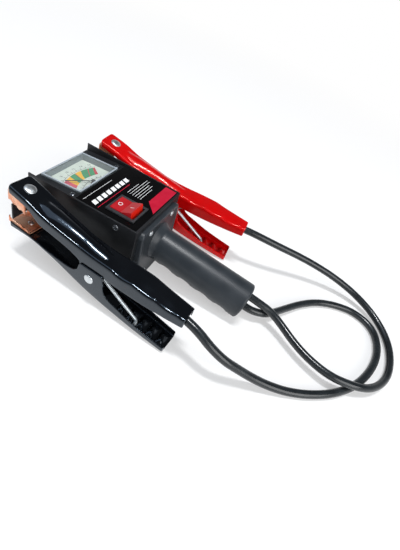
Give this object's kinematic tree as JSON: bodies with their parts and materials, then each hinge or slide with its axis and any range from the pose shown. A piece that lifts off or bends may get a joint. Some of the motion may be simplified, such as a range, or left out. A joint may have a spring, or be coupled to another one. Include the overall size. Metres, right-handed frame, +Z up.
{
  "type": "battery load tester",
  "caption": "Hand-held battery load tester: black sheet-steel case with pointer meter and rocker switch, moulded grip, and red and black spring clamps on heavy leads.",
  "frame": {"origin": "centre of the case bottom, on the table", "axes": "+Z up, +Y from the grip towards the meter end, +X towards the red clamp"},
  "size_m": [0.2066, 0.3974, 0.0744],
  "materials": {
    "case_paint": "satin black paint",
    "label_film": "glossy printed film",
    "steel": "bright plated steel",
    "meter_plastic": "satin grey plastic",
    "window": "clear window",
    "dial": "printed dial",
    "needle_paint": "matt black pointer",
    "copper": "copper",
    "magnet": "sintered magnet",
    "brass": "brass",
    "switch_plastic": "matt dark plastic",
    "rocker_plastic": "translucent red plastic",
    "ceramic": "unglazed ceramic",
    "grip_plastic": "satin slate-grey plastic",
    "rubber": "black rubber",
    "black_paint": "glossy black paint",
    "red_paint": "glossy red paint"
  },
  "bodies": {
    "tester": {"base_tray": "case_paint", "black_cable": "rubber", "black_cable_clip": "steel", "black_clip_bracket": "case_paint", "black_inner_lead": "rubber", "black_pivot_rivet": "steel", "black_spring": "steel", "black_terminal": "copper", "black_upper_arm": "black_paint", "black_upper_jaw": "copper", "black_upper_jaw_rivet": "steel", "cable_plug": "rubber", "ceramic_rail_left": "ceramic", "ceramic_rail_right": "ceramic", "core_magnet": "magnet", "dial_plate": "dial", "handle_grip": "grip_plastic", "handle_screw_1": "steel", "handle_screw_2": "steel", "handle_screw_3": "steel", "handle_screw_4": "steel", "jewel_bridge": "brass", "label_film": "label_film", "load_bar": "copper", "load_strip": "steel", "meter_bezel": "meter_plastic", "meter_case": "meter_plastic", "meter_screw_1": "steel", "meter_screw_2": "steel", "meter_stud_1": "steel", "meter_stud_2": "steel", "meter_window": "window", "red_cable": "rubber", "red_cable_clip": "steel", "red_clip_bracket": "case_paint", "red_inner_lead": "rubber", "red_pivot_rivet": "steel", "red_spring": "steel", "red_terminal": "copper", "red_upper_arm": "red_paint", "red_upper_jaw": "copper", "red_upper_jaw_rivet": "steel", "side_screw_left_1": "steel", "side_screw_left_2": "steel", "side_screw_right_1": "steel", "side_screw_right_2": "steel", "switch_blade_1": "brass", "switch_blade_2": "brass", "switch_frame": "switch_plastic", "top_cover": "case_paint", "yoke_ring": "steel"},
    "rocker": {"switch_rocker": "rocker_plastic"},
    "pointer": {"meter_needle": "needle_paint", "moving_coil": "copper"},
    "black_jaw": {"black_lower_arm": "black_paint", "black_lower_jaw": "copper", "black_lower_jaw_rivet": "steel"},
    "red_jaw": {"red_lower_arm": "red_paint", "red_lower_jaw": "copper", "red_lower_jaw_rivet": "steel"}
  },
  "joints": [
    {"name": "rocker_press", "type": "hinge", "parent": "tester", "child": "rocker", "pos_m": [-0.021, -0.0325, 0.0653], "axis": [1, 0, 0], "range_deg": [0, 24], "stiffness_Nm_per_rad": 0.05, "springref_deg": -22.92},
    {"name": "pointer_swing", "type": "hinge", "parent": "tester", "child": "pointer", "pos_m": [0, 0.01805, 0.06366], "axis": [0, -0.083, -0.9965], "range_deg": [0, 90], "stiffness_Nm_per_rad": 0.0001, "springref_deg": -17.19},
    {"name": "black_clamp_open", "type": "hinge", "parent": "tester", "child": "black_jaw", "pos_m": [-0.069, -0.0407, 0.0302], "axis": [-0.9969, 0.0785, 0], "range_deg": [0, 18], "stiffness_Nm_per_rad": 2, "springref_deg": -22.92, "deforming": ["black_spring"]},
    {"name": "red_clamp_open", "type": "hinge", "parent": "tester", "child": "red_jaw", "pos_m": [0.069, -0.0407, 0.0302], "axis": [-0.9969, -0.0785, 0], "range_deg": [0, 18], "stiffness_Nm_per_rad": 2, "springref_deg": -22.92, "deforming": ["red_spring"]}
  ]
}
